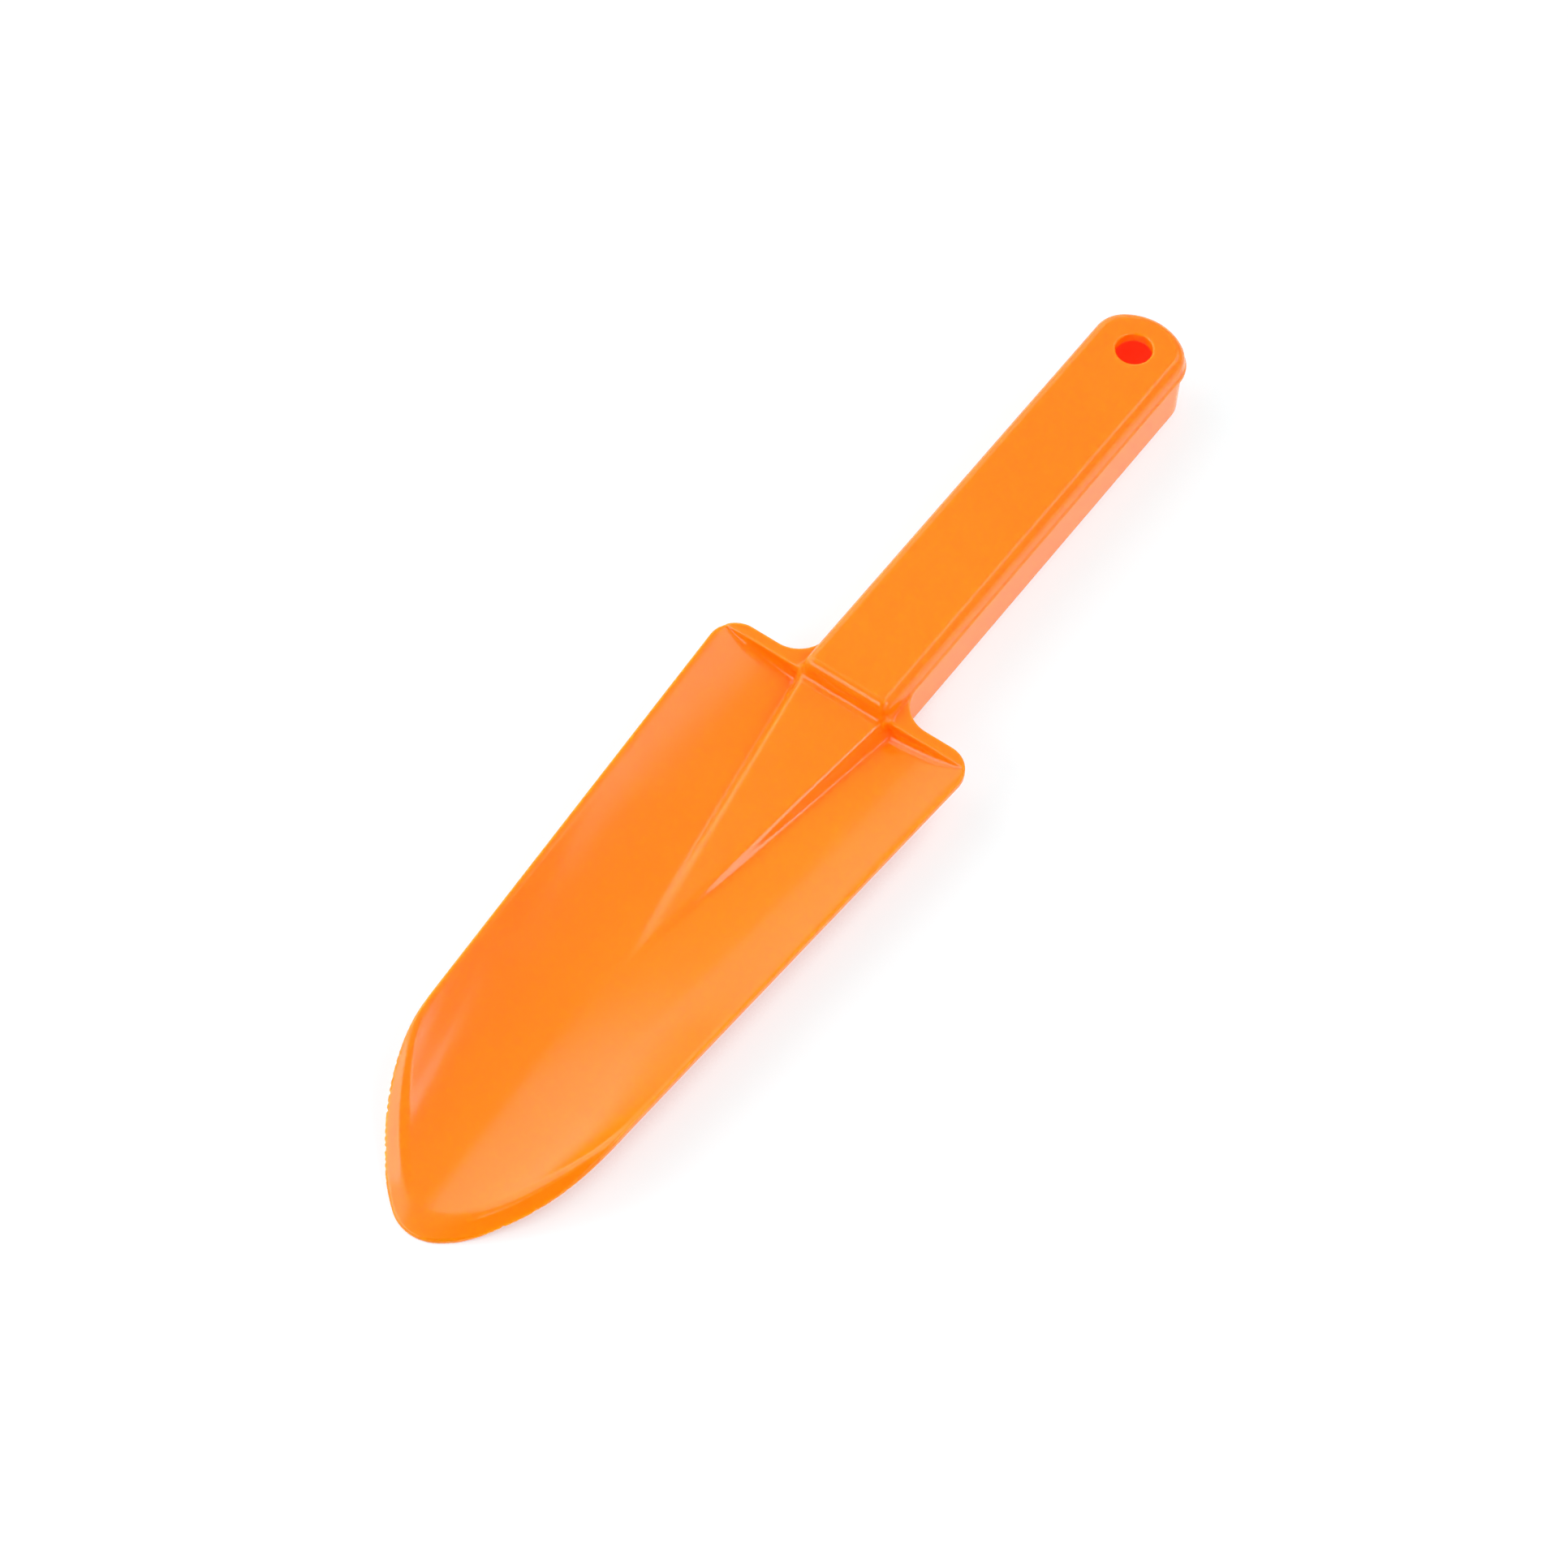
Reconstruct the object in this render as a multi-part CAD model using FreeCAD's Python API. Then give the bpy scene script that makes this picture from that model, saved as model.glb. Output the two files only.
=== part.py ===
"""Hand trowel for sand: one plastic moulding, written as three regions that meet face to face.

blade   shallow scoop with a flanged heel and a nose that is cut off at a slope
spine   hollow wedge that runs from the grip down into the scoop
handle  channel-shaped grip: a cap with leaning sides, set over a narrower wall that is open
        underneath, with a hanging hole

+X is the width, +Y runs from the nose to the end of the grip, +Z is up.
The trowel lies on z = 0, and the origin is the bottom centre of its bounding box.
"""

import FreeCAD, Part
import math
import os

V = FreeCAD.Vector

# Driving dimensions, millimetres and degrees
LENGTH = 280.0
BLADE_LENGTH = 157.2     # nose to the back edge of the shoulders
RIM_HEIGHT = 14.8        # rim plane of the blade, above the ground
GRIP_RISE = 4.5          # top of the grip above the rim plane
WALL = 2.2               # plate thickness of the blade and of its flange

SHOULDER_HALF = 34.0     # half width where the sides would meet the shoulder line
SIDE_TAPER = 3.65        # each straight side leans in towards the nose
SHOULDER_R = 7.1
BOW_R = 50.0
NOSE_R = 10.5

HEEL_FLANGE = 3.05       # width of the flat flange behind the scoop
HEEL_WALL = 2.1          # wall between the scoop's heel and the air under the flange
HEEL_DEPTH = 5.5         # depth of the scoop at its heel
DEPTH_GAIN = 3.0e-4      # the floor drops by this times the square of the distance from the heel
FLOOR_POWER = 2.2        # 2 is a parabola across the scoop; more is flatter in the middle

CUT_START = 117.5        # distance from the shoulder line at which the rim starts to drop
CUT_R = 30.0
CUT_SLOPE = 25.3
NOSE_LEVEL = 1.4         # the cut levels off here, so the nose keeps some thickness

SPINE_REACH = 78.0       # the spine's top meets the floor this far from the shoulder line
SPINE_HALF = 11.9
SPINE_TIP_HALF = 0.8     # half width of the spine where its top meets the floor
SPINE_DROP = 0.4         # the spine's back end lies this far below the rim plane
SPINE_WALL = 2.0
STEP_TOP = 2.9           # the grip's top runs on past the shoulder line by this
STEP_FOOT = 3.8

CAP_HALF = 12.0          # half width of the grip's cap at its lower edge
CAP_DRAFT = 10.0
CAP_EDGE_R = 2.1
CAP_SKIRT = 1.2          # the cap's sides reach this far below the rim plane
SKIRT_HALF = 11.15       # lower wall, just under the cap's edge
SKIRT_DRAFT = 1.6
GRIP_TOP_WALL = 3.0
CHANNEL_HALF = 8.8       # the channel's half width under its roof
CHANNEL_DRAFT = 0.5      # it widens downwards
NECK_R = 7.9             # concave corner between the shoulder and the cap

GRIP_CORNER_R = 8.5      # the cap's round end: two corner arcs and a flatter one between them
GRIP_END_R = 14.5

HOLE_R = 4.3
HOLE_FROM_END = 11.4

# Levels that follow from them
NOSE_Y = -LENGTH / 2
END_Y = LENGTH / 2
SHOULDER_Y = NOSE_Y + BLADE_LENGTH
HEEL_Y = SHOULDER_Y - HEEL_FLANGE
GRIP_TOP = RIM_HEIGHT + GRIP_RISE
STEP_Y = SHOULDER_Y - STEP_FOOT
FADE_Y = SHOULDER_Y - SPINE_REACH
REACH = 60.0             # larger than anything it has to clear
PAST = 4.0               # cutting forms run on past the surface they cut by this


def tangent_of(degrees):
    return math.tan(math.radians(degrees))


def side_half(y):
    """Half width of the blade's straight sides, carried on past the bow."""
    return SHOULDER_HALF - tangent_of(SIDE_TAPER) * (SHOULDER_Y - y)


def floor_depth(y):
    return HEEL_DEPTH + DEPTH_GAIN * (HEEL_Y - y) ** 2


def prism(face_wire, height):
    return Part.Face(face_wire).extrude(V(0, 0, height))


def polygon(points):
    return Part.makePolygon(points + points[:1])


def side_slab(points):
    """Slab right across the width, its side view given by (y, z) points."""
    return Part.Face(polygon([V(-REACH, y, z) for y, z in points])).extrude(V(2 * REACH, 0, 0))


def arc_about(centre, radius, start, end, z):
    """Arc in a level plane, from one angle to the other in degrees."""
    spots = []
    for angle in (start, (start + end) / 2, end):
        turn = math.radians(angle)
        spots.append(V(centre[0] + radius * math.cos(turn), centre[1] + radius * math.sin(turn), z))
    return Part.Arc(*spots).toShape()


def mirrored(edges):
    return [edge.mirror(V(0, 0, 0), V(1, 0, 0)) for edge in edges]


def closed_outline(right_edges, z):
    """Wire from the edges of its right half, closed by straight lines where the halves meet."""
    wire = Part.Wire(Part.__sortEdges__(right_edges))
    first, last = wire.OrderedVertexes[0].Point, wire.OrderedVertexes[-1].Point
    edges = right_edges + mirrored(right_edges)
    for point in (first, last):
        if abs(point.x) > 1e-6:
            edges.append(Part.makeLine(V(-point.x, point.y, z), V(point.x, point.y, z)))
    return Part.Wire(Part.__sortEdges__(edges))


def blade_outline(z):
    """Plan outline: nose, bows, tapering sides, rounded shoulders and the shoulder line."""
    taper = math.radians(SIDE_TAPER)
    across, along = (math.cos(taper), -math.sin(taper)), (math.sin(taper), math.cos(taper))
    nose = (0.0, NOSE_Y + NOSE_R)
    base = (SHOULDER_HALF - BOW_R * across[0], SHOULDER_Y - BOW_R * across[1])
    gap = (base[0] - nose[0], base[1] - nose[1])
    half_b = gap[0] * along[0] + gap[1] * along[1]
    spare = gap[0] ** 2 + gap[1] ** 2 - (BOW_R - NOSE_R) ** 2
    slide = -half_b + math.sqrt(half_b ** 2 - spare)
    bow = (base[0] + slide * along[0], base[1] + slide * along[1])
    meet = math.degrees(math.atan2(nose[1] - bow[1], nose[0] - bow[0]))
    shoulder_y = SHOULDER_Y - SHOULDER_R
    shoulder = (side_half(shoulder_y) - SHOULDER_R / across[0], shoulder_y)
    edges = [
        arc_about(nose, NOSE_R, -90.0, meet, z),
        arc_about(bow, BOW_R, meet, -SIDE_TAPER, z),
        arc_about(shoulder, SHOULDER_R, -SIDE_TAPER, 90.0, z),
    ]
    ends = [edge.valueAt(edge.LastParameter) for edge in edges[1:]]
    starts = [edge.valueAt(edge.FirstParameter) for edge in edges[1:]]
    edges.append(Part.makeLine(ends[0], starts[1]))
    return closed_outline(edges, z)


def grip_outline(half, z, start_y):
    """Plan outline of the grip, square at start_y and round at its end, parallel to the cap's."""
    inset = CAP_HALF - half
    corner_x = CAP_HALF - GRIP_CORNER_R
    rise = math.sqrt((GRIP_END_R - GRIP_CORNER_R) ** 2 - corner_x ** 2)
    end_centre = (0.0, END_Y - GRIP_END_R)
    corner = (corner_x, end_centre[1] + rise)
    meet = math.degrees(math.atan2(rise, corner_x))
    edges = [
        Part.makeLine(V(half, start_y, z), V(half, corner[1], z)),
        arc_about(corner, GRIP_CORNER_R - inset, 0.0, meet, z),
        arc_about(end_centre, GRIP_END_R - inset, meet, 90.0, z),
    ]
    return closed_outline(edges, z)


def scoop_section(y, drop, top):
    """Closed section across the scoop, its floor lowered by drop; it runs on past the sides."""
    half = side_half(y)
    depth = floor_depth(y)
    steps = (-1.15, -0.9, -0.6, -0.3, 0.0, 0.3, 0.6, 0.9, 1.15)
    points = []
    for step in steps:
        level = RIM_HEIGHT - drop - depth * (1.0 - abs(step) ** FLOOR_POWER)
        points.append(V(step * half, y, level))
    floor = Part.BSplineCurve()
    floor.interpolate(points)
    right, left = V(points[-1].x, y, top), V(points[0].x, y, top)
    sides = [Part.makeLine(points[-1], right), Part.makeLine(right, left), Part.makeLine(left, points[0])]
    return Part.Wire([floor.toShape()] + sides)


def scoop_space(back_y, drop):
    """Everything above the scoop's floor, from back_y to beyond the nose."""
    count = 7
    front_y = NOSE_Y - PAST
    stations = [back_y + (front_y - back_y) * i / (count - 1) for i in range(count)]
    top = GRIP_TOP + PAST
    return Part.makeLoft([scoop_section(y, drop, top) for y in stations], True, False)


def nose_cut():
    """Space above the sloping cut that takes the rim down to the nose."""
    slope = math.radians(CUT_SLOPE)
    start_y = SHOULDER_Y - CUT_START
    front_y = NOSE_Y - PAST

    def on_arc(turn):
        return V(-REACH, start_y - CUT_R * math.sin(turn), RIM_HEIGHT - CUT_R * (1.0 - math.cos(turn)))

    low = on_arc(slope)
    level_y = low.y - (low.z - NOSE_LEVEL) / math.tan(slope)
    others = [(level_y, NOSE_LEVEL), (front_y, NOSE_LEVEL), (front_y, REACH), (start_y, REACH)]
    corners = [low] + [V(-REACH, y, z) for y, z in others] + [on_arc(0.0)]
    edges = [Part.Arc(on_arc(0.0), on_arc(slope / 2), low).toShape()]
    edges += [Part.makeLine(a, b) for a, b in zip(corners, corners[1:])]
    return Part.Face(Part.Wire(edges)).extrude(V(2 * REACH, 0, 0))


def spine_column(inset):
    """Upright column over the spine's plan: even at the heel, then narrowing to the tip."""
    taper = (SPINE_HALF - SPINE_TIP_HALF) / (STEP_Y - FADE_Y)
    half = SPINE_HALF - inset
    tip = max(SPINE_TIP_HALF - inset, 0.0)
    right = [(half, SHOULDER_Y), (half, STEP_Y), (tip, STEP_Y - (half - tip) / taper)]
    left = [(-x, y) for x, y in reversed(right) if x > 0.0]
    return prism(polygon([V(x, y, -REACH) for x, y in right + left]), 2 * REACH)


def spine_top(drop):
    """Side view of the spine's top, lowered by drop: level at the heel, then down to the floor."""
    back = RIM_HEIGHT - SPINE_DROP - drop
    return [(SHOULDER_Y, back), (STEP_Y, back), (FADE_Y, RIM_HEIGHT - floor_depth(FADE_Y) - drop)]


def make_blade():
    solid = prism(blade_outline(0.0), RIM_HEIGHT)
    flange = Part.makeBox(2 * REACH, HEEL_FLANGE, WALL, V(-REACH, HEEL_Y, RIM_HEIGHT - WALL))
    plate = solid.common(scoop_space(HEEL_Y + HEEL_WALL, WALL).fuse(flange))
    plate = plate.cut(scoop_space(HEEL_Y, 0.0)).cut(nose_cut())
    return plate.cut(spine_column(0.0)).removeSplitter()


def make_cap():
    """Cap with leaning sides and a rounded top edge; it runs out over the spine to the step."""
    low = RIM_HEIGHT - CAP_SKIRT
    foot = RIM_HEIGHT - SPINE_DROP
    lean = tangent_of(CAP_DRAFT) * (GRIP_TOP - low)
    levels = ((CAP_HALF, low), (CAP_HALF - lean, GRIP_TOP))
    cap = Part.makeLoft([grip_outline(half, z, STEP_Y - PAST) for half, z in levels], True, True)
    side = [(SHOULDER_Y - STEP_TOP, GRIP_TOP), (END_Y + PAST, GRIP_TOP), (END_Y + PAST, low),
            (SHOULDER_Y, low), (SHOULDER_Y, foot), (STEP_Y, foot)]
    cap = cap.common(side_slab(side))
    rim = [e for e in cap.Edges if min(v.Z for v in e.Vertexes) > GRIP_TOP - 0.01]
    return cap.makeFillet(CAP_EDGE_R, rim)


def before_shoulders():
    return Part.makeBox(2 * REACH, BLADE_LENGTH, REACH, V(-REACH, NOSE_Y, 0))


def make_spine():
    wedge = side_slab(spine_top(0.0) + [(FADE_Y, spine_top(WALL)[-1][1]), (SHOULDER_Y, 0.0)])
    hollow = side_slab(spine_top(WALL) + [(FADE_Y, -REACH), (SHOULDER_Y, -REACH)])
    step = make_cap().common(before_shoulders())
    solid = wedge.common(spine_column(0.0)).fuse(step)
    return solid.cut(hollow.common(spine_column(SPINE_WALL))).removeSplitter()


def make_handle():
    lean = tangent_of(SKIRT_DRAFT) * RIM_HEIGHT
    levels = ((SKIRT_HALF - lean, 0.0), (SKIRT_HALF, RIM_HEIGHT))
    skirt = Part.makeLoft([grip_outline(half, z, SHOULDER_Y) for half, z in levels], True, True)
    cap = make_cap().cut(before_shoulders())
    solid = cap.fuse([skirt] + [neck_fillet(side) for side in (1, -1)])
    roof = GRIP_TOP - GRIP_TOP_WALL
    levels = ((CHANNEL_HALF + tangent_of(CHANNEL_DRAFT) * roof, 0.0), (CHANNEL_HALF, roof))
    channel = Part.makeLoft([grip_outline(half, z, SHOULDER_Y) for half, z in levels], True, True)
    hole = Part.makeCylinder(HOLE_R, REACH, V(0, END_Y - HOLE_FROM_END, 0))
    return solid.cut(channel).cut(hole).removeSplitter()


def neck_fillet(side):
    """Flat gusset with a concave edge that joins the shoulder's flange to the cap."""
    z = RIM_HEIGHT - WALL
    inner, outer = SKIRT_HALF, CAP_HALF + NECK_R
    square = [V(side * inner, SHOULDER_Y, z), V(side * outer, SHOULDER_Y, z),
              V(side * outer, SHOULDER_Y + NECK_R, z), V(side * inner, SHOULDER_Y + NECK_R, z)]
    bite = Part.makeCylinder(NECK_R, REACH, V(side * outer, SHOULDER_Y + NECK_R, 0))
    return prism(polygon(square), WALL).cut(bite)


os.makedirs("parts", exist_ok=True)
for name, make in (("blade", make_blade), ("spine", make_spine), ("handle", make_handle)):
    shape = make()
    box = shape.BoundBox
    print(name, shape.isValid(), len(shape.Solids), "solid", round(shape.Volume), "mm3",
          [round(v, 2) for v in (box.XMin, box.YMin, box.ZMin, box.XMax, box.YMax, box.ZMax)])
    shape.exportStep("parts/" + name + ".step")
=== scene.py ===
"""Looks of the sand scoop: one seamless orange moulding on a white sweep.

The moulding is written as a distance field, in millimetres: negative inside the plastic.
It is meshed once, and the mesh stands for the blade, the spine and the handle together.
"""

import math

import bpy
import numpy as np
from mathutils import Matrix, Vector


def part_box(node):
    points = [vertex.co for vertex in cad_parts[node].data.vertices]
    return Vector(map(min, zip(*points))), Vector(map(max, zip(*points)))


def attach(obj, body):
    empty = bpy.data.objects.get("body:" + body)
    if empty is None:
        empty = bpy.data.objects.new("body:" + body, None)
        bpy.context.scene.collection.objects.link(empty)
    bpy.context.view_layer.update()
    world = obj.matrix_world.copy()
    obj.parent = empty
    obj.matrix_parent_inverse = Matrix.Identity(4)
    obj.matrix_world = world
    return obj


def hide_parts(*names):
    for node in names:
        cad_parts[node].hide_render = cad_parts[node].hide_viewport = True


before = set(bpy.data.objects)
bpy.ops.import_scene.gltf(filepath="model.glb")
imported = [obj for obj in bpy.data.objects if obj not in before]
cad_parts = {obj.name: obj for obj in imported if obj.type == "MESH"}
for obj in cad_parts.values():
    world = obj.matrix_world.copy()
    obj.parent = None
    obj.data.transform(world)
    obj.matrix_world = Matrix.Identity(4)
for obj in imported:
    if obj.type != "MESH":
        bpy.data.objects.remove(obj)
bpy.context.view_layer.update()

MM = 0.001


def frame_mm(node):
    """Lowest and highest corners of a CAD node, in millimetres."""
    low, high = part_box(node)
    return [v / MM for v in low], [v / MM for v in high]


# Places from the frame, millimetres
BLADE_LOW, BLADE_HIGH = frame_mm("blade")
HANDLE_HIGH = frame_mm("handle")[1]
NOSE_Y = BLADE_LOW[1]
SHOULDER_Y = BLADE_HIGH[1]
END_Y = HANDLE_HIGH[1]
RIM = BLADE_HIGH[2]
GRIP_TOP = HANDLE_HIGH[2]

# Blade
SHOULDER_HALF = 34.0
SIDE_TAPER = math.radians(3.65)
SHOULDER_R = 7.1
BOW_R = 50.0
NOSE_R = 10.5
PLATE = 2.2
RIM_LAND = 0.7
RIM_EDGE_R = 0.6
NOSE_PLATE = 3.8
HEEL_FLANGE = 3.05
HEEL_Y = SHOULDER_Y - HEEL_FLANGE
HEEL_DEPTH = 5.5
DEPTH_GAIN = 3.0e-4
FLOOR_POWER = 2.2
CUT_START = SHOULDER_Y - 114.5
CUT_R = 30.0
CUT_SLOPE = math.radians(24.3)
CUT_BEVEL = math.tan(math.radians(15.0))
CUT_BEVEL_RUN = 15.0
NOSE_LEVEL = 1.2
NOSE_LEVEL_R = 2.0
NOSE_RUN = 25.0
FLANGE_EDGE_R = 0.6
HEEL_FILLET = 2.2
UNDER_HEEL_R = 1.5

# Spine: a wedge whose top falls to the floor before its sides would meet
SPINE_HALF = 9.4
SPINE_FOOT_HALF = 13.9
SPINE_REACH = 68.0
SPINE_FOOT_REACH = 99.2
SPINE_FADE = 78.0
SPINE_DROP = 0.4
SPINE_STEEPNESS = 2.5
SPINE_WALL = 2.0
RIB_EXTRA = 0.3
SPINE_FADE_R = 0.2
STEP_TOP = 2.9
STEP_FOOT = 3.8
STEP_FILLET = 1.8

# Grip: a cap with leaning sides, over a skirt that is set in under the cap's edge
CAP_HALF = 12.0
CAP_DRAFT = math.radians(10.0)
CAP_EDGE_R = 2.1
CAP_SKIRT = 1.2
CAP_ROOT = 1.0
CAP_FOOT_R = 0.7
SKIRT_HALF = 11.15
SKIRT_DRAFT = math.tan(math.radians(1.6))
SKIRT_ROOT = 0.5
GRIP_TOP_WALL = 3.0
CHANNEL_HALF = 8.8
CHANNEL_DRAFT = math.tan(math.radians(0.5))
CHANNEL_ROOF_R = 1.2
CHANNEL_FRONT_R = 1.0
CHANNEL_MOUTH_R = 0.4
GRIP_CORNER_R = 8.5
GRIP_END_R = 14.5
NECK_R = 7.9
HOLE_R = 4.3
HOLE_Y = END_Y - 11.4
HOLE_EDGE_R = 0.5

# Small roundings that several edges share
LEAST_R = 0.3
UNDER_R = 0.5

# Stretch behind the shoulders where the blade's plate thins to the cap's edge
THIN_FROM = SHOULDER_Y + 2.0
THIN_TO = SHOULDER_Y + NECK_R + 3.0

# Places that follow from them
SPINE_FOOT_Y = SHOULDER_Y - STEP_FOOT
FADE_Y = SHOULDER_Y - SPINE_FADE
FADE_Z = RIM - HEEL_DEPTH - DEPTH_GAIN * (HEEL_Y - FADE_Y) ** 2

# Grid that the field is meshed on: ends of each span and the size of its cells
SPANS_X = ((0.0, 0.5), (9.0, 0.35), (12.5, 0.8), (24.0, 0.5), (34.5, None))
SPANS_Y = ((-140.9, 0.6), (-100.0, 0.9), (6.0, 0.45), (26.0, 3.0), (122.0, 0.45), (141.0, None))
SPANS_Z = ((-0.7, 0.35), (1.0, 0.6), (13.0, 0.25), (15.5, 0.35), (20.0, None))


def round_union(a, b, r):
    """Union of two distances with a concave fillet of radius r."""
    corner = np.hypot(np.maximum(r - a, 0.0), np.maximum(r - b, 0.0))
    return np.maximum(r, np.minimum(a, b)) - corner


def round_common(a, b, r):
    """Intersection of two distances with a rounded edge of radius r."""
    return -round_union(-a, -b, r)


def smooth_step(low, high, value):
    """0 at low, 1 at high, with level ends."""
    t = np.clip((value - low) / (high - low), 0.0, 1.0)
    return t * t * (3.0 - 2.0 * t)


def bow_centre():
    """Centre of the bow arc, which touches the straight side and holds the nose arc inside it."""
    across = np.array([math.cos(SIDE_TAPER), -math.sin(SIDE_TAPER)])
    along = np.array([math.sin(SIDE_TAPER), math.cos(SIDE_TAPER)])
    base = np.array([SHOULDER_HALF, SHOULDER_Y]) - BOW_R * across
    gap = base - np.array([0.0, NOSE_Y + NOSE_R])
    half_b = gap @ along
    slide = -half_b + math.sqrt(half_b ** 2 - gap @ gap + (BOW_R - NOSE_R) ** 2)
    return base + slide * along


BOW_X, BOW_Y = bow_centre()


def side_half(y):
    """Half width between the straight sides."""
    return SHOULDER_HALF - math.tan(SIDE_TAPER) * (SHOULDER_Y - y)


def blade_plan(x, y):
    """Distance to the blade's outline in plan."""
    nose_y = NOSE_Y + NOSE_R
    turn = np.arctan2(y - BOW_Y, x - BOW_X)
    side = (x - side_half(y)) * math.cos(SIDE_TAPER)
    bow = np.hypot(x - BOW_X, y - BOW_Y) - BOW_R
    nose = np.hypot(x, y - nose_y) - NOSE_R
    ahead = np.where(turn < math.atan2(nose_y - BOW_Y, -BOW_X), nose, bow)
    edge = np.where(turn > -SIDE_TAPER, side, ahead)
    return round_common(edge, y - SHOULDER_Y, SHOULDER_R)


def grip_plan(x, y, half):
    """Distance to the grip's outline in plan, at this half width; forward it runs on under the blade."""
    inset = CAP_HALF - half
    corner_x = CAP_HALF - GRIP_CORNER_R
    rise = math.sqrt((GRIP_END_R - GRIP_CORNER_R) ** 2 - corner_x ** 2)
    end_y = END_Y - GRIP_END_R
    corner = np.hypot(x - corner_x, y - end_y - rise) - GRIP_CORNER_R + inset
    end = np.hypot(x, y - end_y) - GRIP_END_R + inset
    round_end = np.where(x * rise > (y - end_y) * corner_x, corner, end)
    return np.where(y > end_y + rise, round_end, x - half)


def spine_halves(y):
    """Half widths of the spine at its top and at its foot."""
    ahead = np.maximum(SPINE_FOOT_Y - y, 0.0)
    top_half = SPINE_HALF * (1.0 - ahead / (SPINE_REACH - STEP_FOOT))
    foot_half = SPINE_FOOT_HALF * (1.0 - ahead / (SPINE_FOOT_REACH - STEP_FOOT))
    return top_half, foot_half


def spine_share(x, y, inset):
    """1 on the spine's top, 0 on the scoop's floor, and an S-curve between them."""
    top_half, foot_half = spine_halves(y)
    t = np.clip((foot_half - inset - x) / (foot_half - top_half), 0.0, 1.0)
    up = t ** SPINE_STEEPNESS
    return up / (up + (1.0 - t) ** SPINE_STEEPNESS)


def spine_level(y):
    """Height of the spine's top, which slopes down from the step until the floor meets it."""
    back_z = RIM - SPINE_DROP
    slope = (back_z - FADE_Z) / (SPINE_FOOT_Y - FADE_Y)
    return back_z - slope * np.maximum(SPINE_FOOT_Y - y, 0.0)


def floor_level(x, y, inset=0.0):
    """Height of the scoop's floor, with the spine on it, its sides moved in by the inset."""
    half = side_half(y) - RIM_LAND
    depth = HEEL_DEPTH + DEPTH_GAIN * np.maximum(HEEL_Y - y, 0.0) ** 2
    level = RIM - depth * (1.0 - (x / half) ** FLOOR_POWER)
    rise = spine_level(y) - level
    return level + spine_share(x, y, inset) * (rise + np.hypot(rise, SPINE_FADE_R)) / 2.0


def floor_distance(x, y, z, inset=0.0):
    """Distance above the scoop's floor."""
    step = 0.05
    level = floor_level(x, y, inset)
    across = (floor_level(x + step, y, inset) - level) / step
    along = (floor_level(x, y + step, inset) - level) / step
    return (z - level) / np.sqrt(1.0 + across ** 2 + along ** 2)


def cut_distance(x, y, z):
    """Distance above the rim: level, then an arc, then down to the nose with a bevel along the outline."""
    bevel = CUT_BEVEL * smooth_step(CUT_START, CUT_START - CUT_BEVEL_RUN, y)
    z = z + bevel * blade_plan(x, y)
    ahead = CUT_START - y
    below = RIM - z
    arc = np.hypot(ahead, CUT_R - below) - CUT_R
    slope = ahead * math.sin(CUT_SLOPE) + (CUT_R - below) * math.cos(CUT_SLOPE) - CUT_R
    past_arc = ahead * math.cos(CUT_SLOPE) > (CUT_R - below) * math.sin(CUT_SLOPE)
    cut = np.where(ahead < 0.0, -below, np.where(past_arc, slope, arc))
    return round_union(cut, z - NOSE_LEVEL, NOSE_LEVEL_R)


def step_front(y, z):
    """Distance in front of the sloping step between the grip's top and the spine."""
    run = STEP_FOOT - STEP_TOP
    drop = GRIP_TOP - RIM + SPINE_DROP
    ahead = SHOULDER_Y - STEP_TOP - y
    return (ahead * drop - (GRIP_TOP - z) * run) / math.hypot(run, drop)


def cap_form(x, y, z):
    """The grip's cap: leaning sides, sloping front, flat top and rounded edges."""
    rise = z - RIM + CAP_SKIRT
    side = (grip_plan(x, y, CAP_HALF) + math.tan(CAP_DRAFT) * rise) * math.cos(CAP_DRAFT)
    sides = round_common(side, step_front(y, z), CAP_EDGE_R)
    return round_common(sides, z - GRIP_TOP, CAP_EDGE_R)


def channel_side(x, y, z):
    """Distance to the side walls of the channel inside the grip; it widens a little downwards."""
    return grip_plan(x, y, CHANNEL_HALF) + CHANNEL_DRAFT * (z - GRIP_TOP + GRIP_TOP_WALL)


def upper_form(x, y, z):
    """What lies below the upper surface: the floor, the heel's flange, the grip and the spine."""
    rim_r = RIM_EDGE_R * (1.0 + smooth_step(CUT_START, CUT_START - NOSE_RUN, y))
    floor = round_common(floor_distance(x, y, z), cut_distance(x, y, z), rim_r)
    flange = round_common(z - RIM, HEEL_Y - y, FLANGE_EDGE_R)
    heel_r = np.clip(RIM - floor_level(x, y), LEAST_R, HEEL_FILLET)
    ground = round_union(floor, flange, heel_r)
    cap = np.maximum(cap_form(x, y, z), RIM - CAP_ROOT - z)
    at_step = smooth_step(SHOULDER_Y, SHOULDER_Y - STEP_TOP, y)
    step_r = CAP_FOOT_R + (STEP_FILLET - CAP_FOOT_R) * at_step
    return round_union(ground, cap, step_r)


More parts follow.
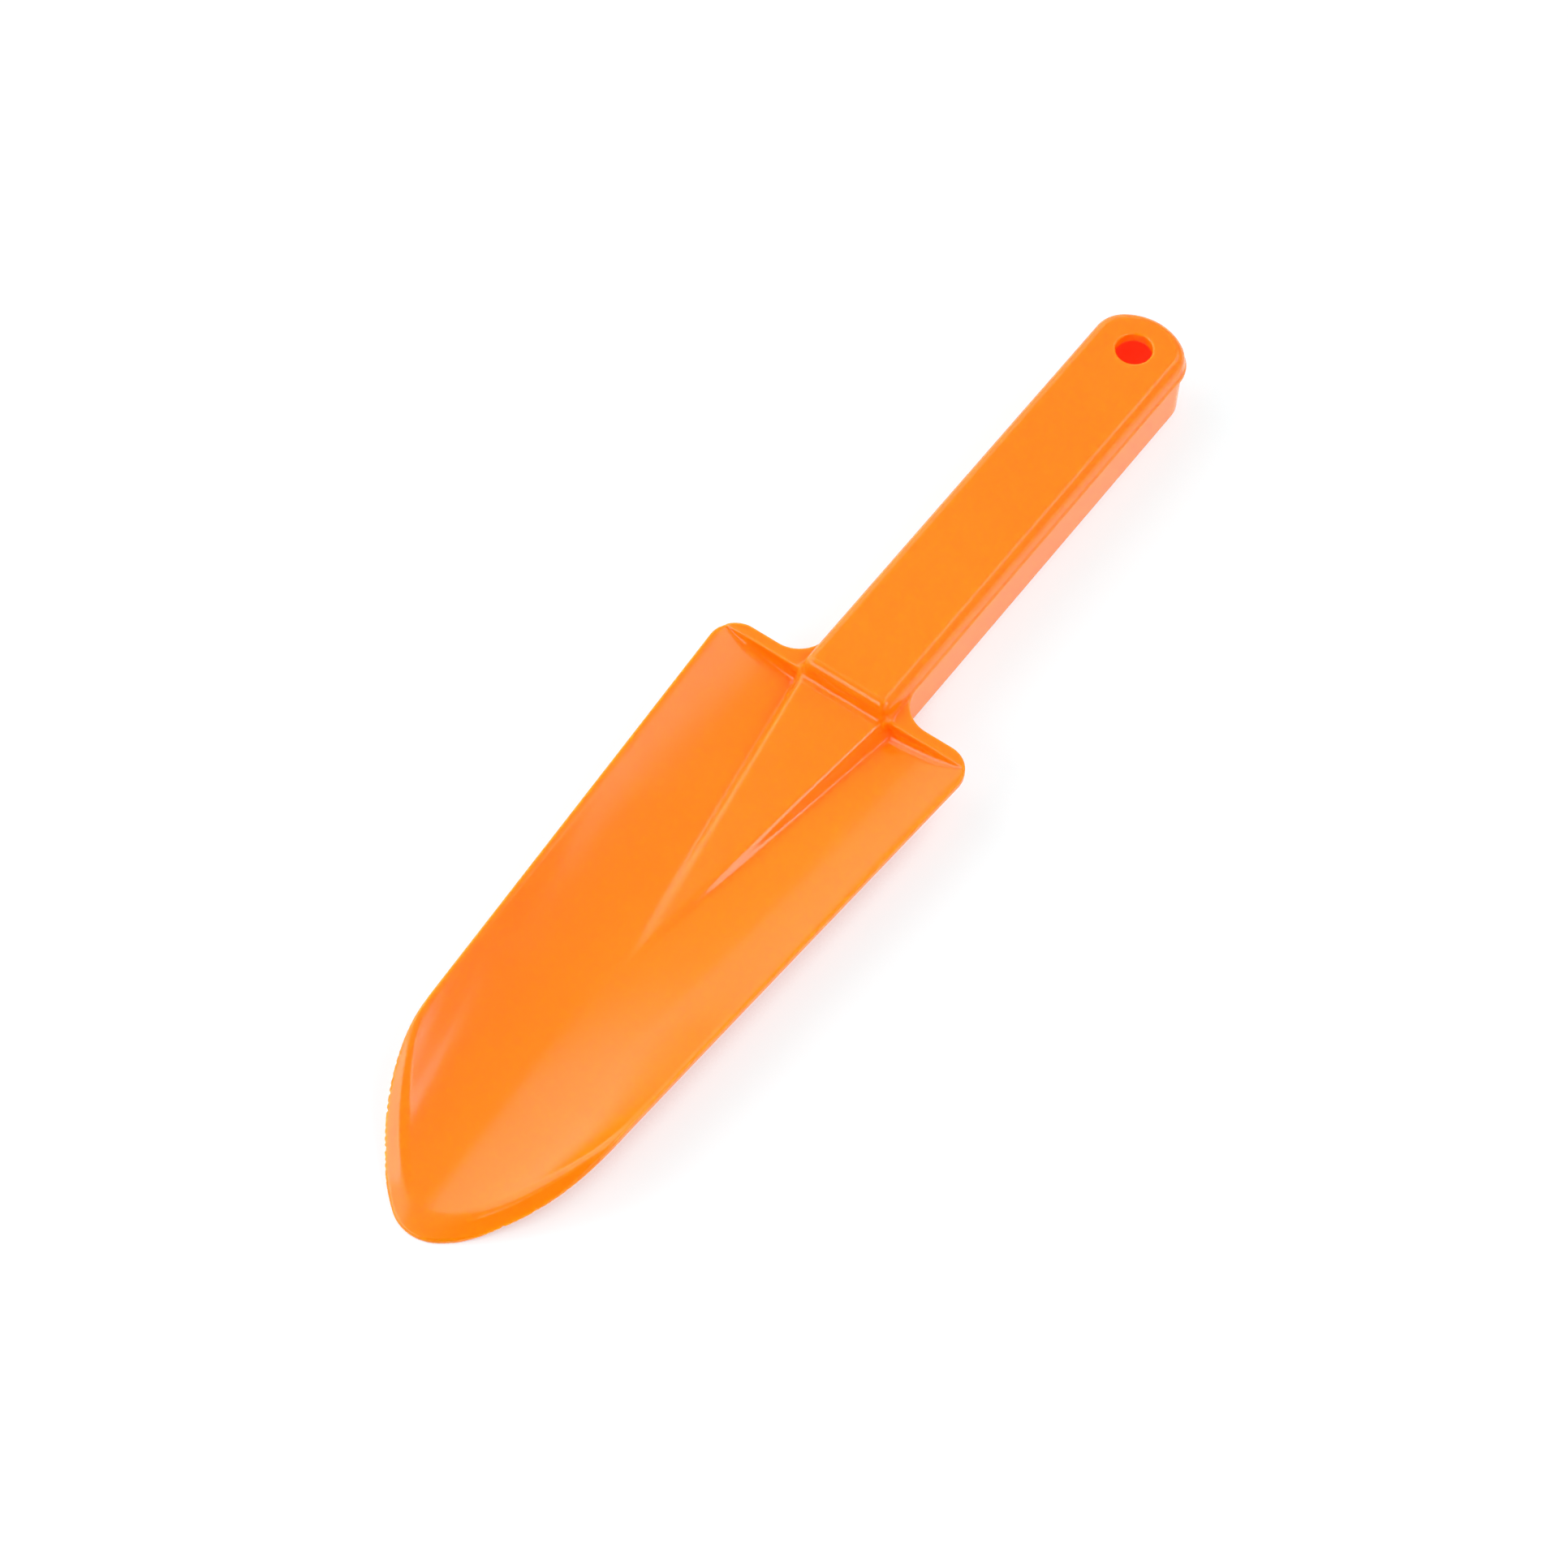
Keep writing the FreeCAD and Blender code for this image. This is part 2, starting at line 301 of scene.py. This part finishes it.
def lower_form(x, y, z):
    """The air below the plate, up inside the grip's channel and inside the hollow spine."""
    cap_share = smooth_step(THIN_FROM, THIN_TO, y)
    nose_share = smooth_step(CUT_START, CUT_START - NOSE_RUN, y)
    plate = PLATE + (CAP_SKIRT - PLATE) * cap_share
    floor = floor_distance(x, y, z, SPINE_WALL) + PLATE + (NOSE_PLATE - PLATE) * nose_share
    flange = round_common(z - RIM + plate, HEEL_Y + PLATE - y, UNDER_R)
    ground = round_union(floor, flange, UNDER_HEEL_R)
    channel = round_common(channel_side(x, y, z), z - GRIP_TOP + GRIP_TOP_WALL, CHANNEL_ROOF_R)
    channel = round_common(channel, step_front(y, z) + PLATE, CHANNEL_FRONT_R)
    return round_union(ground, channel, CHANNEL_MOUTH_R)


def skirt_form(x, y, z):
    """The grip's lower wall, and the two ribs that carry it on under the spine."""
    share = smooth_step(HEEL_Y, SHOULDER_Y + NECK_R, y)
    outer_spine = x - sum(spine_halves(y)) / 2.0
    inner_spine = outer_spine + SPINE_WALL + RIB_EXTRA
    outer = outer_spine + (grip_plan(x, y, SKIRT_HALF) - outer_spine) * share
    inner = inner_spine + (channel_side(x, y, z) - inner_spine) * share
    ring = round_common(outer + SKIRT_DRAFT * (RIM - CAP_SKIRT - z), -inner, LEAST_R)
    slope = (FADE_Z - PLATE) / SPINE_FADE
    underside = slope * np.maximum(SHOULDER_Y - y, 0.0)
    return round_common(ring, underside - z, UNDER_R)


def moulding_distance(x, y, z):
    """Distance to the moulding's surface, negative inside the plastic."""
    x = np.abs(x)
    upper = upper_form(x, y, z)
    lip = np.maximum(grip_plan(x, y, CAP_HALF), CUT_START - y)
    outline = round_union(blade_plan(x, y), lip, NECK_R)
    shell = round_common(upper, outline, RIM_EDGE_R)
    behind = smooth_step(SHOULDER_Y, SHOULDER_Y + NECK_R, y)
    under_r = UNDER_R + (LEAST_R - UNDER_R) * behind
    shell = round_common(shell, -lower_form(x, y, z), under_r)
    shell = round_common(shell, -z, UNDER_R)
    skirt = np.maximum(skirt_form(x, y, z), upper + SKIRT_ROOT)
    solid = round_union(shell, skirt, LEAST_R)
    return round_common(solid, HOLE_R - np.hypot(x, y - HOLE_Y), HOLE_EDGE_R)


def spaced(spans):
    """Grid lines for spans given as (start, cell size), closed by the last start."""
    lines = [np.array([spans[0][0]])]
    for (start, cell), (end, _) in zip(spans, spans[1:]):
        count = round((end - start) / cell)
        lines.append(np.linspace(start, end, count + 1)[1:])
    return np.concatenate(lines)


def slope_at(points):
    """Gradient of the distance at each point, by small differences."""
    step = 0.02
    slope = np.empty_like(points)
    for axis in range(3):
        shift = np.zeros(3)
        shift[axis] = step
        ahead = moulding_distance(*(points + shift).T)
        behind = moulding_distance(*(points - shift).T)
        slope[:, axis] = (ahead - behind) / (2.0 * step)
    return slope


def onto_surface(points, passes):
    """Move points along the slope until they lie on the surface, in limited steps."""
    least_slope = 0.2
    longest_step = 0.5
    for _ in range(passes):
        slope = slope_at(points)
        size = np.maximum((slope ** 2).sum(1), least_slope ** 2)
        move = moulding_distance(*points.T) / size
        points = points - np.clip(move, -longest_step, longest_step)[:, None] * slope
    return points


def relaxed(points, quads, passes):
    """Spread the vertices evenly, without leaving the surface."""
    for _ in range(passes):
        total = np.zeros_like(points)
        count = np.zeros(len(points))
        for here, there in ((0, 1), (1, 2), (2, 3), (3, 0)):
            for a, b in ((quads[:, here], quads[:, there]), (quads[:, there], quads[:, here])):
                count += np.bincount(a, minlength=len(points))
                for axis in range(3):
                    total[:, axis] += np.bincount(a, points[b, axis], len(points))
        points = 0.5 * points + 0.5 * total / count[:, None]
        points = onto_surface(points, 2)
    return points


def mesh_of_field():
    """Vertices, one for each grid cell that the surface crosses, and the quads that join them."""
    half_x = spaced(SPANS_X)
    lines = (np.concatenate([-half_x[:0:-1], half_x]), spaced(SPANS_Y), spaced(SPANS_Z))
    inside = moulding_distance(*np.meshgrid(*lines, indexing="ij", sparse=True)) < 0.0
    corners = np.zeros([len(line) - 1 for line in lines], int)
    for i in (0, 1):
        for j in (0, 1):
            for k in (0, 1):
                corners += inside[i:i - 1 or None, j:j - 1 or None, k:k - 1 or None]
    crossed = (corners > 0) & (corners < 8)
    cells = np.argwhere(crossed)
    number = np.full(crossed.shape, -1)
    number[crossed] = np.arange(len(cells))
    middles = [(line[1:] + line[:-1]) / 2.0 for line in lines]
    points = np.stack([middles[axis][cells[:, axis]] for axis in range(3)], 1)
    quads = []
    for axis in range(3):
        within = np.moveaxis(inside, axis, 0)[:, 1:-1, 1:-1]
        around = np.moveaxis(number, axis, 0)
        change = within[1:] != within[:-1]
        ring = (around[:, :-1, :-1], around[:, 1:, :-1], around[:, 1:, 1:], around[:, :-1, 1:])
        quad = np.stack([cell[change] for cell in ring], 1)
        flip = within[:-1][change] == (axis == 1)
        quad[flip] = quad[flip, ::-1]
        quads.append(quad)
    return points, np.concatenate(quads)


def make_moulding():
    """The scoop as one mesh, shaded with the exact slope of its surface."""
    points, quads = mesh_of_field()
    points = relaxed(onto_surface(points, 5), quads, 3)
    mesh = bpy.data.meshes.new("sand_scoop_moulding")
    mesh.from_pydata((points * MM).tolist(), [], quads.tolist())
    mesh.polygons.foreach_set("use_smooth", [True] * len(quads))
    slope = slope_at(points)
    mesh.normals_split_custom_set_from_vertices(slope / np.linalg.norm(slope, axis=1)[:, None])
    piece = bpy.data.objects.new(mesh.name, mesh)
    bpy.context.scene.collection.objects.link(piece)
    return piece


class Nodes:
    """Short way to write a material's nodes."""

    def __init__(self, name):
        self.material = bpy.data.materials.new(name)
        self.material.use_nodes = True
        self.tree = self.material.node_tree
        self.shader = self.tree.nodes["Principled BSDF"]

    def add(self, kind, values=(), **settings):
        node = self.tree.nodes.new(kind)
        for key, value in settings.items():
            setattr(node, key, value)
        for key, value in dict(values).items():
            if isinstance(value, bpy.types.NodeSocket):
                self.tree.links.new(value, node.inputs[key])
            else:
                node.inputs[key].default_value = value
        return node

    def noise(self, scale, detail, rough=0.5):
        place = self.add("ShaderNodeTexCoord").outputs["Object"]
        return self.add("ShaderNodeTexNoise", {"Vector": place, "Scale": scale, "Detail": detail,
                                               "Roughness": rough}).outputs["Fac"]

    def ranged(self, value, low, high, to_low, to_high):
        node = self.add("ShaderNodeMapRange", {"Value": value, "From Min": low, "From Max": high,
                                               "To Min": to_low, "To Max": to_high})
        return node.outputs["Result"]

    def mix(self, share, first, second):
        node = self.add("ShaderNodeMix", data_type="RGBA")
        for key, value in ((0, share), (6, first), (7, second)):
            if isinstance(value, bpy.types.NodeSocket):
                self.tree.links.new(value, node.inputs[key])
            else:
                node.inputs[key].default_value = value
        return node.outputs[2]

    def shade(self, **sockets):
        for key, value in sockets.items():
            name = key.replace("_", " ")
            if isinstance(value, bpy.types.NodeSocket):
                self.tree.links.new(value, self.shader.inputs[name])
            else:
                self.shader.inputs[name].default_value = value


# Orange plastic: colours in linear light, lengths in metres, noise scales in cells for each metre
ORANGE_DEEP = (1.0, 0.232, 0.002, 1.0)
ORANGE_LIGHT = (1.0, 0.248, 0.003, 1.0)
DRIFT_SCALE = 28.0
SPECK_COLOUR = (0.42, 0.07, 0.01, 1.0)
SPECK_SCALE = 62.0
SPECK_EDGE = (0.010, 0.022)
SPECK_RARITY = (0.88, 0.9)
SPECK_STRENGTH = 0.55
POLISH_SCALE = 140.0
POLISH = (0.13, 0.19)
EDGE_POINTINESS = (0.52, 0.58)
EDGE_RUB = 0.09
PLASTIC_IOR = 1.42
SCATTER_RADIUS = (1.0, 0.3, 0.05)
SCATTER_DEPTH = 0.010
# Painted red glow: an emission colour and strength that lift the plastic's red on lit and shaded faces
# alike
PAINTED_RED_GLOW = (1.0, 0.02, 0.0, 1.0)
PAINTED_RED_GLOW_STRENGTH = 0.28
GRAIN_SCALE = 420.0
GRAIN_HEIGHT = 0.0002
SINK_SCALE = 22.0
SINK_HEIGHT = 0.0006


def orange_plastic():
    """Glossy translucent polypropylene, with faint colour drift, moulding grain, specks and rubbed edges.

    Its faint red emission is a painted glow that lifts the red of every face, its shaded ones too; it
    stands for light that comes up through the plastic from below.
    """
    n = Nodes("orange_plastic")
    cloud = n.noise(DRIFT_SCALE, 3.0)
    base = n.mix(n.ranged(cloud, 0.3, 0.7, 0.0, 1.0), ORANGE_DEEP, ORANGE_LIGHT)
    place = n.add("ShaderNodeTexCoord").outputs["Object"]
    specks = n.add("ShaderNodeTexVoronoi", {"Vector": place, "Scale": SPECK_SCALE, "Randomness": 1.0})
    dot = n.ranged(specks.outputs["Distance"], *SPECK_EDGE, 1.0, 0.0)
    draw = n.add("ShaderNodeSeparateColor", {"Color": specks.outputs["Color"]}).outputs["Red"]
    rare = n.ranged(draw, *SPECK_RARITY, 0.0, SPECK_STRENGTH)
    speck = n.add("ShaderNodeMath", {0: dot, 1: rare}, operation="MULTIPLY").outputs["Value"]
    n.shade(Base_Color=n.mix(speck, base, SPECK_COLOUR))
    pointiness = n.add("ShaderNodeNewGeometry").outputs["Pointiness"]
    rubbed = n.ranged(pointiness, *EDGE_POINTINESS, 0.0, EDGE_RUB)
    rough = n.ranged(n.noise(POLISH_SCALE, 4.0, 0.6), 0.3, 0.7, *POLISH)
    rough = n.add("ShaderNodeMath", {0: rough, 1: rubbed}, operation="ADD").outputs["Value"]
    n.shade(Roughness=rough, IOR=PLASTIC_IOR)
    n.shade(Subsurface_Weight=1.0, Subsurface_Radius=SCATTER_RADIUS, Subsurface_Scale=SCATTER_DEPTH)
    # painted red glow over the whole moulding
    n.shade(Emission_Color=PAINTED_RED_GLOW, Emission_Strength=PAINTED_RED_GLOW_STRENGTH)
    grain = n.add("ShaderNodeBump", {"Height": n.noise(GRAIN_SCALE, 2.0), "Strength": 0.05,
                                     "Distance": GRAIN_HEIGHT})
    sink = n.add("ShaderNodeBump", {"Height": n.noise(SINK_SCALE, 1.0), "Strength": 0.25,
                                    "Distance": SINK_HEIGHT, "Normal": grain.outputs["Normal"]})
    n.shade(Normal=sink.outputs["Normal"])
    return n.material


# Paper sweep: two tones of the sheet, and a glow that fades within the reach given below, in metres, of
# the moulding; this fading is painted shade under and beside the moulding
PAPER_DEEP = (0.46, 0.34, 0.33, 1.0)
PAPER_LIGHT = (0.47, 0.35, 0.34, 1.0)
PAPER_ROUGHNESS = 0.9
PAPER_GLOW = (0.71, 0.97, 1.0, 1.0)
PAPER_GLOW_STRENGTH = 0.68
# Painted shade: the reach and the openness range over which the paper's glow is dimmed near the moulding
PAINTED_SHADE_REACH = 0.03
PAINTED_SHADE_OPENNESS = (0.05, 0.45)


def white_sweep():
    """Paper with a glow of its own, like a lit table, dimmed by ambient occlusion where the moulding
    closes it in, which paints shade under and beside the moulding.
    """
    n = Nodes("white_sweep")
    paper = n.mix(n.noise(3.0, 2.0), PAPER_DEEP, PAPER_LIGHT)
    # painted shade: ambient occlusion dims the paper's glow close to the moulding
    shade_openness = n.add("ShaderNodeAmbientOcclusion", {"Distance": PAINTED_SHADE_REACH}, samples=8).outputs["AO"]
    n.shade(Base_Color=paper, Roughness=PAPER_ROUGHNESS, Emission_Color=PAPER_GLOW)
    n.shade(Emission_Strength=n.ranged(shade_openness, *PAINTED_SHADE_OPENNESS, 0.0, PAPER_GLOW_STRENGTH))
    return n.material


def make_floor():
    """The sweep's flat part, which the moulding lies on."""
    mesh = bpy.data.meshes.new("studio_floor")
    reach = 3.0
    corners = [(-reach, -reach, 0.0), (reach, -reach, 0.0), (reach, reach, 0.0), (-reach, reach, 0.0)]
    mesh.from_pydata(corners, [], [(0, 1, 2, 3)])
    floor = bpy.data.objects.new("studio_floor", mesh)
    bpy.context.scene.collection.objects.link(floor)
    mesh.materials.append(white_sweep())


def aimed(thing, place, target):
    """Put a light or camera at a place, looking at a target."""
    thing.location = place
    thing.rotation_euler = (Vector(target) - Vector(place)).to_track_quat("-Z", "Y").to_euler()


# Softboxes: name, direction of the anchor point, edge direction, extent from the anchor along the
# edge direction and across it in metres, and how bright the face is
SOFTBOX_DISTANCE = 1.3
RIGHT_WAY = (0.444, 0.305, 0.842)
RIGHT_EDGE = (0.213, 0.876, -0.43)
SOFTBOXES = (
    ("left_softbox", (-0.684, 0.367, 0.633), (0.36, 0.94, -0.16), (-1.5, -0.12), (-0.75, 1.1), 1.8),
    ("right_softbox", RIGHT_WAY, RIGHT_EDGE, (0.04, 1.0), (0.12, 0.65), 2.3),
    ("edge_softbox", RIGHT_WAY, RIGHT_EDGE, (-0.45, 0.02), (-0.8, -0.17), 5.0),
    ("foot_softbox", RIGHT_WAY, RIGHT_EDGE, (0.02, 0.28), (-0.95, -0.42), 6.0),
    ("back_softbox", (-0.70, 0.56, 0.44), (0.62, 0.78, 0.0), (-0.35, 0.6), (-0.3, 0.4), 1.0),
    ("front_softbox", (-0.34, -0.76, 0.56), (1.0, 0.0, 0.0), (-0.85, 0.3), (-0.25, 0.35), 4.2),
    ("fill_softbox", (0.80, -0.38, 0.46), (0.43, 0.90, 0.0), (-0.5, 0.5), (-0.3, 0.4), 1.4),
)

# Dim surround: it brightens towards GLOW_SIDE, from one cosine to another and one strength to another
GLOW_SIDE = (-0.35, 0.87, 0.35)
GLOW_RANGE = (-0.25, 0.45, 0.03, 0.5)


def softbox(name, towards, across, span_across, span_along, glow):
    """Rectangular softbox square to its anchor direction; its edges stay straight in reflections."""
    facing = Vector(towards).normalized()
    side = Vector(across)
    side = (side - facing * side.dot(facing)).normalized()
    up = facing.cross(side)
    centre = facing * SOFTBOX_DISTANCE + side * sum(span_across) / 2 + up * sum(span_along) / 2
    data = bpy.data.lights.new(name, "AREA")
    data.shape = "RECTANGLE"
    data.size = span_across[1] - span_across[0]
    data.size_y = span_along[1] - span_along[0]
    data.energy = glow * math.pi * data.size * data.size_y
    lamp = bpy.data.objects.new(name, data)
    bpy.context.scene.collection.objects.link(lamp)
    turn = Matrix((side, up, facing)).transposed()
    lamp.matrix_world = Matrix.LocRotScale(centre, turn.to_quaternion(), None)


def light_studio():
    """The dim surround, and the softboxes over and around the moulding."""
    world = bpy.data.worlds.new("studio")
    world.use_nodes = True
    tree = world.node_tree
    towards = tree.nodes.new("ShaderNodeVectorMath")
    towards.operation = "DOT_PRODUCT"
    towards.inputs[1].default_value = GLOW_SIDE
    tree.links.new(tree.nodes.new("ShaderNodeTexCoord").outputs["Generated"], towards.inputs[0])
    glow = tree.nodes.new("ShaderNodeMapRange")
    glow.interpolation_type = "SMOOTHSTEP"
    for socket, value in zip(list(glow.inputs)[1:5], GLOW_RANGE):
        socket.default_value = value
    tree.links.new(towards.outputs["Value"], glow.inputs["Value"])
    tree.links.new(glow.outputs["Result"], tree.nodes["Background"].inputs["Strength"])
    tree.nodes["Background"].inputs["Color"].default_value = (1.0, 1.0, 1.0, 1.0)
    bpy.context.scene.world = world
    for row in SOFTBOXES:
        softbox(*row)


# The camera stands in front of the nose, to its right, and looks down
CAMERA_TURN = math.radians(36.055)
CAMERA_RISE = math.radians(57.652)
CAMERA_DISTANCE = 0.971
CAMERA_TARGET = (0.003, -0.0122, 0.0148)
CAMERA_LENS = 102.8
SENSOR_WIDTH = 36.0


def place_camera():
    """The camera, aimed at the middle of the scoop."""
    data = bpy.data.cameras.new("camera")
    data.lens = CAMERA_LENS
    data.sensor_width = SENSOR_WIDTH
    camera = bpy.data.objects.new("camera", data)
    bpy.context.scene.collection.objects.link(camera)
    level = math.cos(CAMERA_RISE)
    away = Vector((level * math.sin(CAMERA_TURN), -level * math.cos(CAMERA_TURN), math.sin(CAMERA_RISE)))
    target = Vector(CAMERA_TARGET)
    aimed(camera, target + away * CAMERA_DISTANCE, target)
    bpy.context.scene.camera = camera


place_camera()
moulding = make_moulding()
moulding.data.materials.append(orange_plastic())
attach(moulding, "root")
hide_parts("blade", "spine", "handle")
make_floor()
light_studio()

view = bpy.context.scene.view_settings
view.view_transform = "Standard"
view.look = "None"
view.exposure = 0.0
